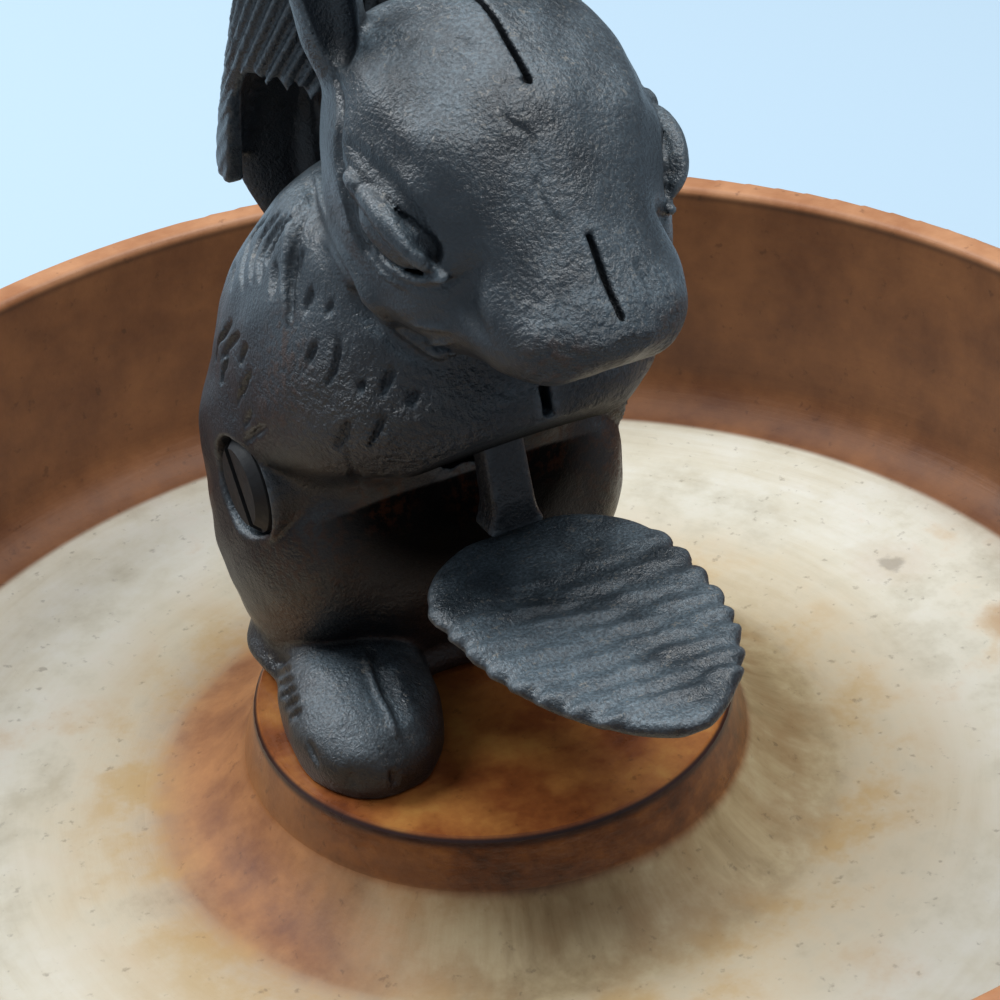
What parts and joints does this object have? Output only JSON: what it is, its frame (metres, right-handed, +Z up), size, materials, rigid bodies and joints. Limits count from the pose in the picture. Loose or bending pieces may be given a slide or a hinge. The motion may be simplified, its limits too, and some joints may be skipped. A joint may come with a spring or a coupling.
{
  "type": "lever nutcracker press",
  "caption": "Cast squirrel nutcracker on the pedestal of a turned wooden bowl; pushing its tail back lifts a ridged leaf tray towards the bib to crack a nut.",
  "frame": {"origin": "middle of the bowl's underside, on the surface it stands on", "axes": "+Z up, the squirrel faces -Y, +X is on the squirrel's left; the lever's pivot lies along X"},
  "size_m": [0.26, 0.26, 0.168],
  "materials": {
    "wood": "oiled, worn and stained",
    "cast_iron": "black paint, satin, with a sandy texture",
    "black_steel": "black paint, satin",
    "zinc_steel": "dull"
  },
  "bodies": {
    "base": {"bowl": "wood", "body_right": "cast_iron", "body_left": "cast_iron", "pivot_screw": "black_steel", "pivot_nut": "black_steel", "mount_screws": "zinc_steel", "mount_washers": "zinc_steel"},
    "lever": {"tail_lever": "cast_iron"}
  },
  "joints": [
    {"name": "lever_hinge", "type": "hinge", "parent": "base", "child": "lever", "pos_m": [0, 0.017, 0.068], "axis": [-1, 0, 0], "range_deg": [0, 24]}
  ]
}
